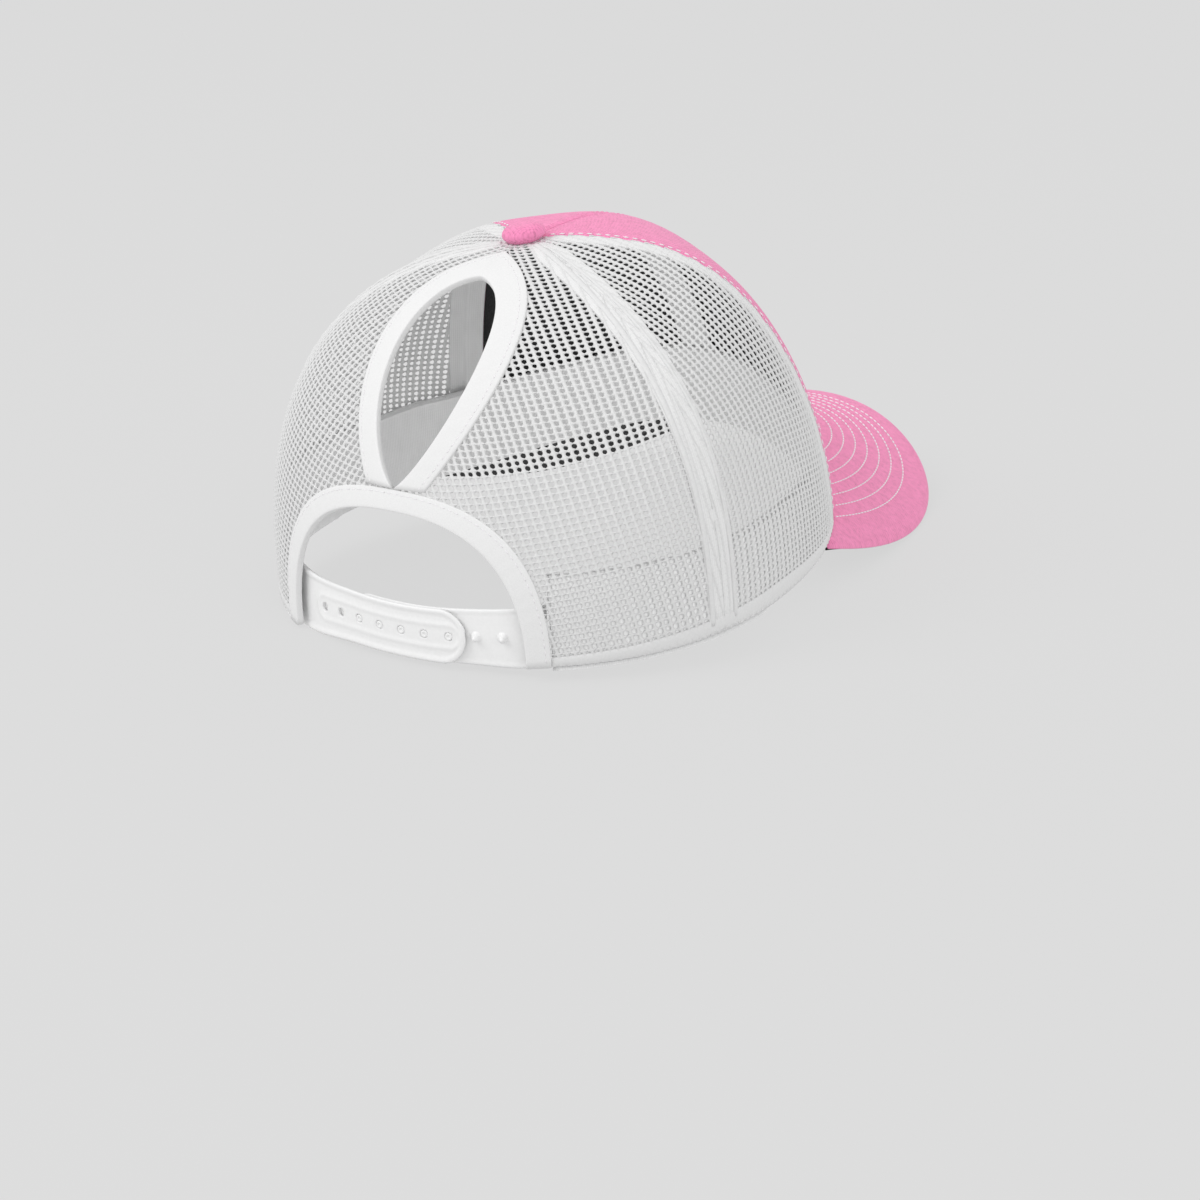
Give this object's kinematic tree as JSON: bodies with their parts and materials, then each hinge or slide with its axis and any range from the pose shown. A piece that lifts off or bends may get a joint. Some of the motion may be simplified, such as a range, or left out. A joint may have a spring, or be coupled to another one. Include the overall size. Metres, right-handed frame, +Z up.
{
  "type": "ponytail baseball cap",
  "caption": "Baseball cap with a twill front and curved peak, mesh sides and back, a teardrop ponytail opening and an arch with a snap strap.",
  "frame": {"origin": "centre of the bounding box at the surface that the cap rests on", "axes": "+Z up, the peak points to -Y, the wearer's left is +X"},
  "size_m": [0.1818, 0.2758, 0.1281],
  "materials": {
    "pink_twill": "cotton twill",
    "white_mesh": "knitted polyester mesh",
    "seam_tape": "woven tape",
    "sweatband_cloth": "cotton twill band",
    "binding_cloth": "bias binding",
    "black_lining": "plain woven lining",
    "strap_plastic": "satin moulded plastic"
  },
  "bodies": {
    "root": {"front_panel_left": "pink_twill", "front_panel_right": "pink_twill", "button": "pink_twill", "peak": "pink_twill", "front_lining_left": "black_lining", "front_lining_right": "black_lining", "peak_underside": "black_lining", "side_mesh_left": "white_mesh", "side_mesh_right": "white_mesh", "back_mesh_left": "white_mesh", "back_mesh_right": "white_mesh", "tape_centre_front": "seam_tape", "tape_front_left": "seam_tape", "tape_front_right": "seam_tape", "tape_side_left": "seam_tape", "tape_side_right": "seam_tape", "sweatband": "sweatband_cloth", "arch_binding": "binding_cloth", "ponytail_binding": "binding_cloth", "strap_left": "strap_plastic", "strap_right": "strap_plastic"}
  },
  "joints": []
}
